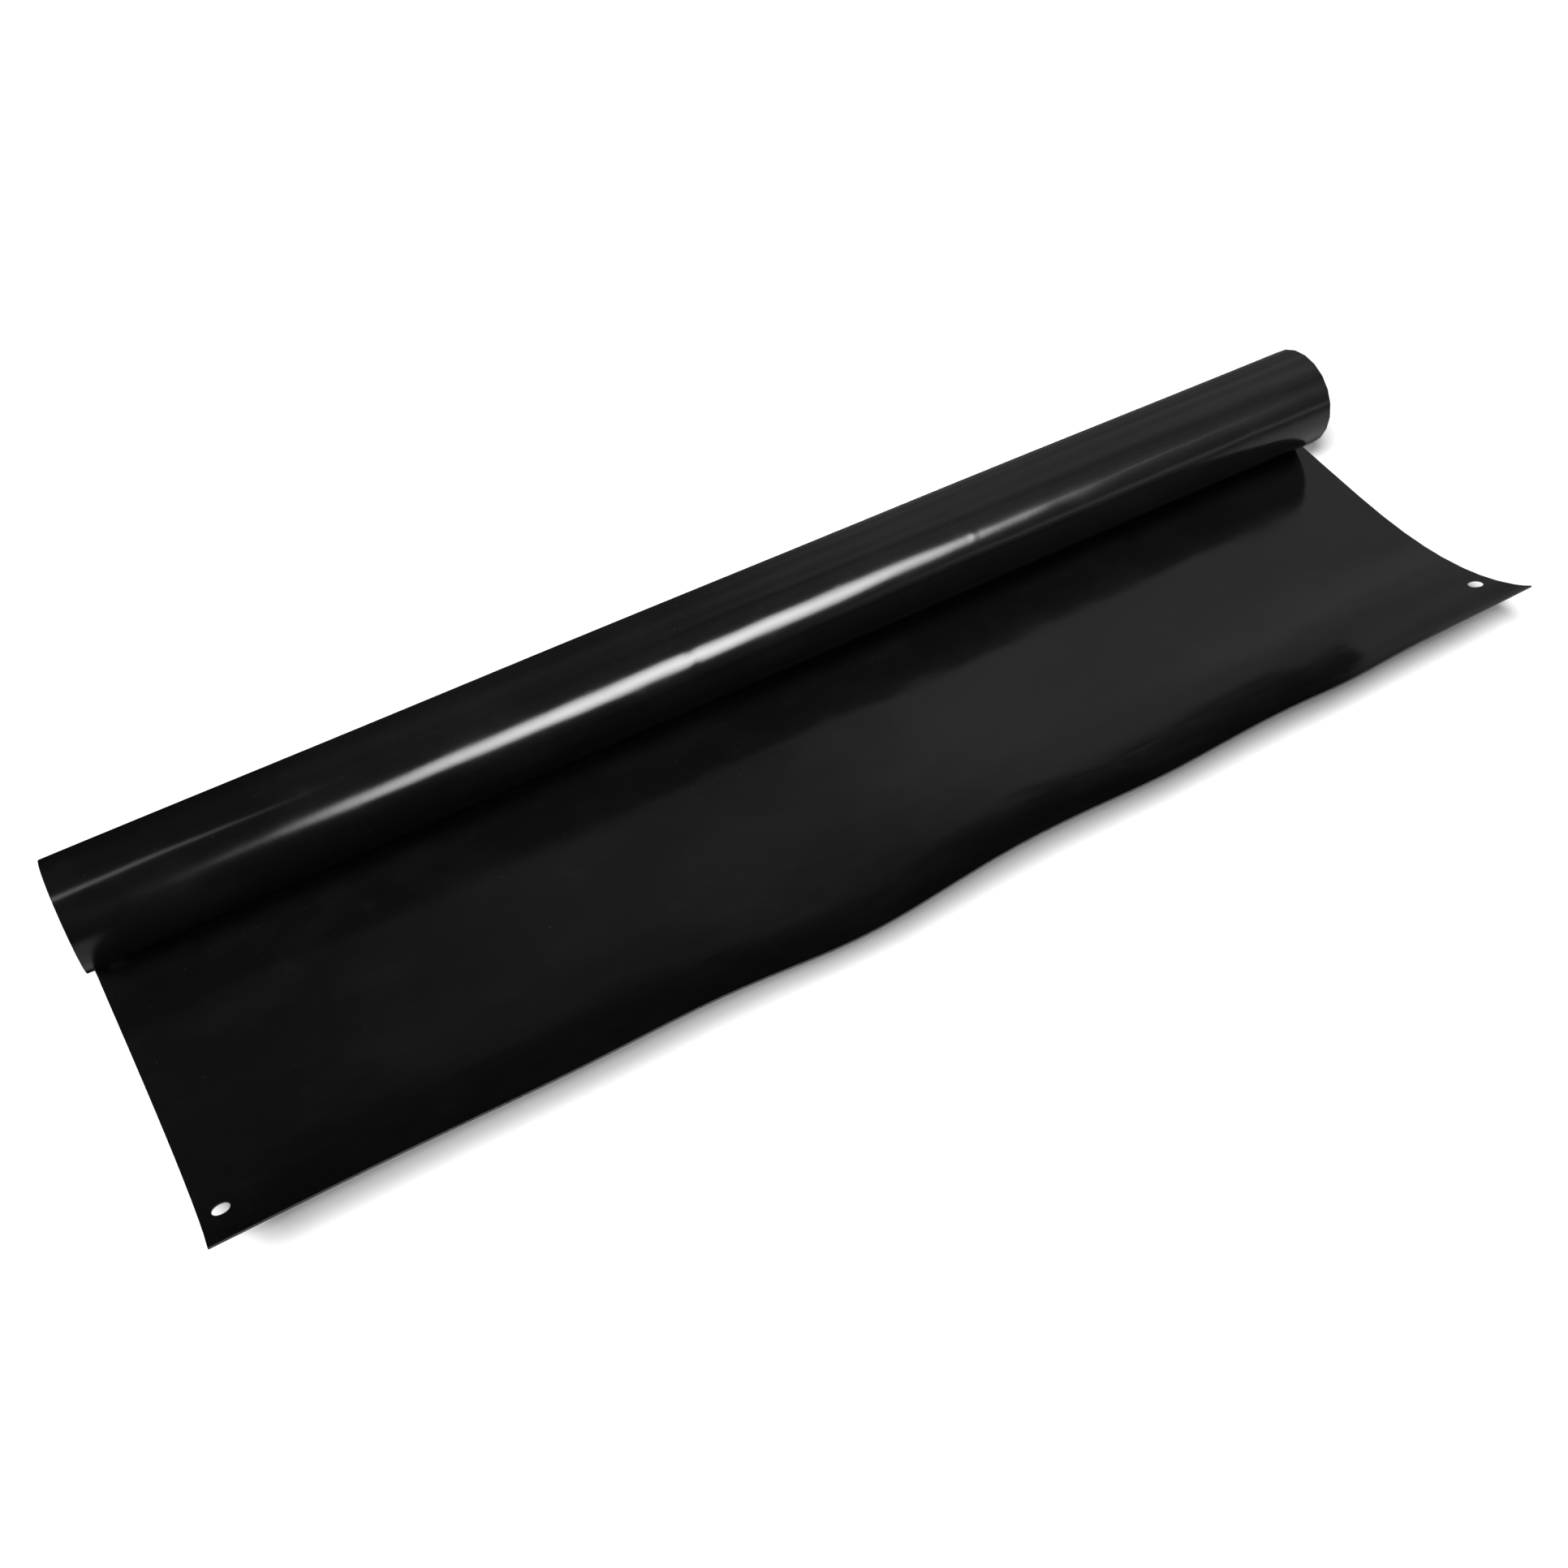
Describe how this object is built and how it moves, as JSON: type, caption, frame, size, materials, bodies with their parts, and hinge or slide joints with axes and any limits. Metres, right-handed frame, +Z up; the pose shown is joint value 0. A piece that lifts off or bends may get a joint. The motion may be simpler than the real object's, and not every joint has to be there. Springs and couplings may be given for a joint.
{
  "type": "kick plate",
  "caption": "Flexible glossy black plastic kick plate, part rolled, with a curled leaf and a fixing hole at each corner. It unrolls flat.",
  "frame": {"origin": "centre of the footprint of the part-rolled plate, on the surface that it lies on", "axes": "+X along the roll, +Y from the leading edge towards the roll, +Z up"},
  "size_m": [0.7686, 0.2362, 0.0603],
  "materials": {
    "plate": "high gloss black, smooth on both faces"
  },
  "bodies": {
    "floor_strip": {"floor_strip": "plate"},
    "roll_strip_01": {"roll_strip_01": "plate"},
    "roll_strip_02": {"roll_strip_02": "plate"},
    "roll_strip_03": {"roll_strip_03": "plate"},
    "roll_strip_04": {"roll_strip_04": "plate"},
    "roll_strip_05": {"roll_strip_05": "plate"},
    "roll_strip_06": {"roll_strip_06": "plate"},
    "roll_strip_07": {"roll_strip_07": "plate"},
    "roll_strip_08": {"roll_strip_08": "plate"},
    "roll_strip_09": {"roll_strip_09": "plate"},
    "roll_strip_10": {"roll_strip_10": "plate"},
    "roll_strip_11": {"roll_strip_11": "plate"},
    "roll_strip_12": {"roll_strip_12": "plate"},
    "roll_strip_13": {"roll_strip_13": "plate"},
    "roll_strip_14": {"roll_strip_14": "plate"},
    "roll_strip_15": {"roll_strip_15": "plate"},
    "roll_strip_16": {"roll_strip_16": "plate"},
    "roll_strip_17": {"roll_strip_17": "plate"},
    "roll_strip_18": {"roll_strip_18": "plate"},
    "roll_strip_19": {"roll_strip_19": "plate"},
    "roll_strip_20": {"roll_strip_20": "plate"},
    "roll_strip_21": {"roll_strip_21": "plate"},
    "roll_strip_22": {"roll_strip_22": "plate"},
    "inner_edge_strip": {"inner_edge_strip": "plate"},
    "leaf_strip_01": {"leaf_strip_01": "plate"},
    "leaf_strip_02": {"leaf_strip_02": "plate"},
    "leaf_strip_03": {"leaf_strip_03": "plate"},
    "leaf_strip_04": {"leaf_strip_04": "plate"},
    "leaf_strip_05": {"leaf_strip_05": "plate"},
    "leaf_strip_06": {"leaf_strip_06": "plate"},
    "leaf_strip_07": {"leaf_strip_07": "plate"},
    "leaf_strip_08": {"leaf_strip_08": "plate"},
    "leaf_strip_09": {"leaf_strip_09": "plate"},
    "leading_edge_strip": {"leading_edge_strip": "plate"}
  },
  "joints": [
    {"name": "unroll", "type": "hinge", "parent": "floor_strip", "child": "roll_strip_01", "pos_m": [0, 0.09165, 0.001], "axis": [-1, 0, 0], "range_deg": [0, 16.3], "stiffness_Nm_per_rad": 2.5},
    {"name": "roll_bend_02", "type": "hinge", "parent": "roll_strip_01", "child": "roll_strip_02", "pos_m": [0, 0.09978, 0.00338], "axis": [-1, 0, 0], "range_deg": [0, 16.35]},
    {"name": "roll_bend_03", "type": "hinge", "parent": "roll_strip_02", "child": "roll_strip_03", "pos_m": [0, 0.1069, 0.00794], "axis": [-1, 0, 0], "range_deg": [0, 16.4]},
    {"name": "roll_bend_04", "type": "hinge", "parent": "roll_strip_03", "child": "roll_strip_04", "pos_m": [0, 0.11245, 0.01434], "axis": [-1, 0, 0], "range_deg": [0, 16.45]},
    {"name": "roll_bend_05", "type": "hinge", "parent": "roll_strip_04", "child": "roll_strip_05", "pos_m": [0, 0.11596, 0.02204], "axis": [-1, 0, 0], "range_deg": [0, 16.5]},
    {"name": "roll_bend_06", "type": "hinge", "parent": "roll_strip_05", "child": "roll_strip_06", "pos_m": [0, 0.11714, 0.03042], "axis": [-1, 0, 0], "range_deg": [0, 16.55]},
    {"name": "roll_bend_07", "type": "hinge", "parent": "roll_strip_06", "child": "roll_strip_07", "pos_m": [0, 0.11589, 0.03879], "axis": [-1, 0, 0], "range_deg": [0, 16.6]},
    {"name": "roll_bend_08", "type": "hinge", "parent": "roll_strip_07", "child": "roll_strip_08", "pos_m": [0, 0.11229, 0.04645], "axis": [-1, 0, 0], "range_deg": [0, 16.65]},
    {"name": "roll_bend_09", "type": "hinge", "parent": "roll_strip_08", "child": "roll_strip_09", "pos_m": [0, 0.10665, 0.05277], "axis": [-1, 0, 0], "range_deg": [0, 16.7]},
    {"name": "roll_bend_10", "type": "hinge", "parent": "roll_strip_09", "child": "roll_strip_10", "pos_m": [0, 0.09944, 0.05719], "axis": [-1, 0, 0], "range_deg": [0, 16.75]},
    {"name": "roll_bend_11", "type": "hinge", "parent": "roll_strip_10", "child": "roll_strip_11", "pos_m": [0, 0.09125, 0.05935], "axis": [-1, 0, 0], "range_deg": [0, 16.8]},
    {"name": "roll_bend_12", "type": "hinge", "parent": "roll_strip_11", "child": "roll_strip_12", "pos_m": [0, 0.08279, 0.05905], "axis": [-1, 0, 0], "range_deg": [0, 16.85]},
    {"name": "roll_bend_13", "type": "hinge", "parent": "roll_strip_12", "child": "roll_strip_13", "pos_m": [0, 0.07478, 0.05631], "axis": [-1, 0, 0], "range_deg": [0, 16.91]},
    {"name": "roll_bend_14", "type": "hinge", "parent": "roll_strip_13", "child": "roll_strip_14", "pos_m": [0, 0.06792, 0.05136], "axis": [-1, 0, 0], "range_deg": [0, 16.96]},
    {"name": "roll_bend_15", "type": "hinge", "parent": "roll_strip_14", "child": "roll_strip_15", "pos_m": [0, 0.06279, 0.04462], "axis": [-1, 0, 0], "range_deg": [0, 17.01]},
    {"name": "roll_bend_16", "type": "hinge", "parent": "roll_strip_15", "child": "roll_strip_16", "pos_m": [0, 0.05986, 0.03668], "axis": [-1, 0, 0], "range_deg": [0, 17.06]},
    {"name": "roll_bend_17", "type": "hinge", "parent": "roll_strip_16", "child": "roll_strip_17", "pos_m": [0, 0.05939, 0.02823], "axis": [-1, 0, 0], "range_deg": [0, 17.12]},
    {"name": "roll_bend_18", "type": "hinge", "parent": "roll_strip_17", "child": "roll_strip_18", "pos_m": [0, 0.06143, 0.02001], "axis": [-1, 0, 0], "range_deg": [0, 17.17]},
    {"name": "roll_bend_19", "type": "hinge", "parent": "roll_strip_18", "child": "roll_strip_19", "pos_m": [0, 0.06581, 0.01277], "axis": [-1, 0, 0], "range_deg": [0, 20.22]},
    {"name": "roll_bend_20", "type": "hinge", "parent": "roll_strip_19", "child": "roll_strip_20", "pos_m": [0, 0.07471, 0.00564], "axis": [-1, 0, 0], "range_deg": [0, 23.3]},
    {"name": "roll_bend_21", "type": "hinge", "parent": "roll_strip_20", "child": "roll_strip_21", "pos_m": [0, 0.0857, 0.00262], "axis": [-1, 0, 0], "range_deg": [0, 17.85]},
    {"name": "roll_bend_22", "type": "hinge", "parent": "roll_strip_21", "child": "roll_strip_22", "pos_m": [0, 0.09169, 0.00288], "axis": [-1, 0, 0], "range_deg": [0, 12.34]},
    {"name": "roll_bend_23", "type": "hinge", "parent": "roll_strip_22", "child": "inner_edge_strip", "pos_m": [0, 0.09749, 0.00441], "axis": [-1, 0, 0], "range_deg": [0, 21.61]},
    {"name": "leaf_bend_01", "type": "hinge", "parent": "floor_strip", "child": "leaf_strip_01", "pos_m": [0, 0.02142, 0.001], "axis": [1, 0, 0], "range_deg": [0, 1.35]},
    {"name": "leaf_bend_02", "type": "hinge", "parent": "leaf_strip_01", "child": "leaf_strip_02", "pos_m": [0, 0.00143, 0.00147], "axis": [1, 0, 0], "range_deg": [0, 2.16]},
    {"name": "leaf_bend_03", "type": "hinge", "parent": "leaf_strip_02", "child": "leaf_strip_03", "pos_m": [0, -0.01654, 0.00257], "axis": [1, 0, 0], "range_deg": [0, 2.79]},
    {"name": "leaf_bend_04", "type": "hinge", "parent": "leaf_strip_03", "child": "leaf_strip_04", "pos_m": [0, -0.03244, 0.00433], "axis": [1, 0, 0], "range_deg": [0, 3.14]},
    {"name": "leaf_bend_05", "type": "hinge", "parent": "leaf_strip_04", "child": "leaf_strip_05", "pos_m": [0, -0.04625, 0.00662], "axis": [1, 0, 0], "range_deg": [0, 3.7]},
    {"name": "leaf_bend_06", "type": "hinge", "parent": "leaf_strip_05", "child": "leaf_strip_06", "pos_m": [0, -0.06135, 0.01015], "axis": [1, 0, 0], "range_deg": [0, 4.08]},
    {"name": "leaf_bend_07", "type": "hinge", "parent": "leaf_strip_06", "child": "leaf_strip_07", "pos_m": [0, -0.07329, 0.01385], "axis": [1, 0, 0], "range_deg": [0, 4.11]},
    {"name": "leaf_bend_08", "type": "hinge", "parent": "leaf_strip_07", "child": "leaf_strip_08", "pos_m": [0, -0.08493, 0.01839], "axis": [1, 0, 0], "range_deg": [0, 4.54]},
    {"name": "leaf_bend_09", "type": "hinge", "parent": "leaf_strip_08", "child": "leaf_strip_09", "pos_m": [0, -0.09618, 0.02385], "axis": [1, 0, 0], "range_deg": [0, 3.95]},
    {"name": "leaf_bend_10", "type": "hinge", "parent": "leaf_strip_09", "child": "leading_edge_strip", "pos_m": [0, -0.10269, 0.02758], "axis": [1, 0, 0], "range_deg": [0, 5.5]}
  ],
  "couplings": [
    {"joint": "roll_bend_02", "follows": "unroll", "ratio": 1.003},
    {"joint": "roll_bend_03", "follows": "unroll", "ratio": 1.006},
    {"joint": "roll_bend_04", "follows": "unroll", "ratio": 1.009},
    {"joint": "roll_bend_05", "follows": "unroll", "ratio": 1.0121},
    {"joint": "roll_bend_06", "follows": "unroll", "ratio": 1.0152},
    {"joint": "roll_bend_07", "follows": "unroll", "ratio": 1.0182},
    {"joint": "roll_bend_08", "follows": "unroll", "ratio": 1.0214},
    {"joint": "roll_bend_09", "follows": "unroll", "ratio": 1.0245},
    {"joint": "roll_bend_10", "follows": "unroll", "ratio": 1.0276},
    {"joint": "roll_bend_11", "follows": "unroll", "ratio": 1.0308},
    {"joint": "roll_bend_12", "follows": "unroll", "ratio": 1.034},
    {"joint": "roll_bend_13", "follows": "unroll", "ratio": 1.0372},
    {"joint": "roll_bend_14", "follows": "unroll", "ratio": 1.0404},
    {"joint": "roll_bend_15", "follows": "unroll", "ratio": 1.0436},
    {"joint": "roll_bend_16", "follows": "unroll", "ratio": 1.0469},
    {"joint": "roll_bend_17", "follows": "unroll", "ratio": 1.0502},
    {"joint": "roll_bend_18", "follows": "unroll", "ratio": 1.0535},
    {"joint": "roll_bend_19", "follows": "unroll", "ratio": 1.2404},
    {"joint": "roll_bend_20", "follows": "unroll", "ratio": 1.4293},
    {"joint": "roll_bend_21", "follows": "unroll", "ratio": 1.0949},
    {"joint": "roll_bend_22", "follows": "unroll", "ratio": 0.75722},
    {"joint": "roll_bend_23", "follows": "unroll", "ratio": 1.3261},
    {"joint": "leaf_bend_01", "follows": "unroll", "ratio": 0.082763},
    {"joint": "leaf_bend_02", "follows": "unroll", "ratio": 0.13254},
    {"joint": "leaf_bend_03", "follows": "unroll", "ratio": 0.1713},
    {"joint": "leaf_bend_04", "follows": "unroll", "ratio": 0.19248},
    {"joint": "leaf_bend_05", "follows": "unroll", "ratio": 0.22707},
    {"joint": "leaf_bend_06", "follows": "unroll", "ratio": 0.25018},
    {"joint": "leaf_bend_07", "follows": "unroll", "ratio": 0.25191},
    {"joint": "leaf_bend_08", "follows": "unroll", "ratio": 0.27882},
    {"joint": "leaf_bend_09", "follows": "unroll", "ratio": 0.24243},
    {"joint": "leaf_bend_10", "follows": "unroll", "ratio": 0.3375}
  ]
}
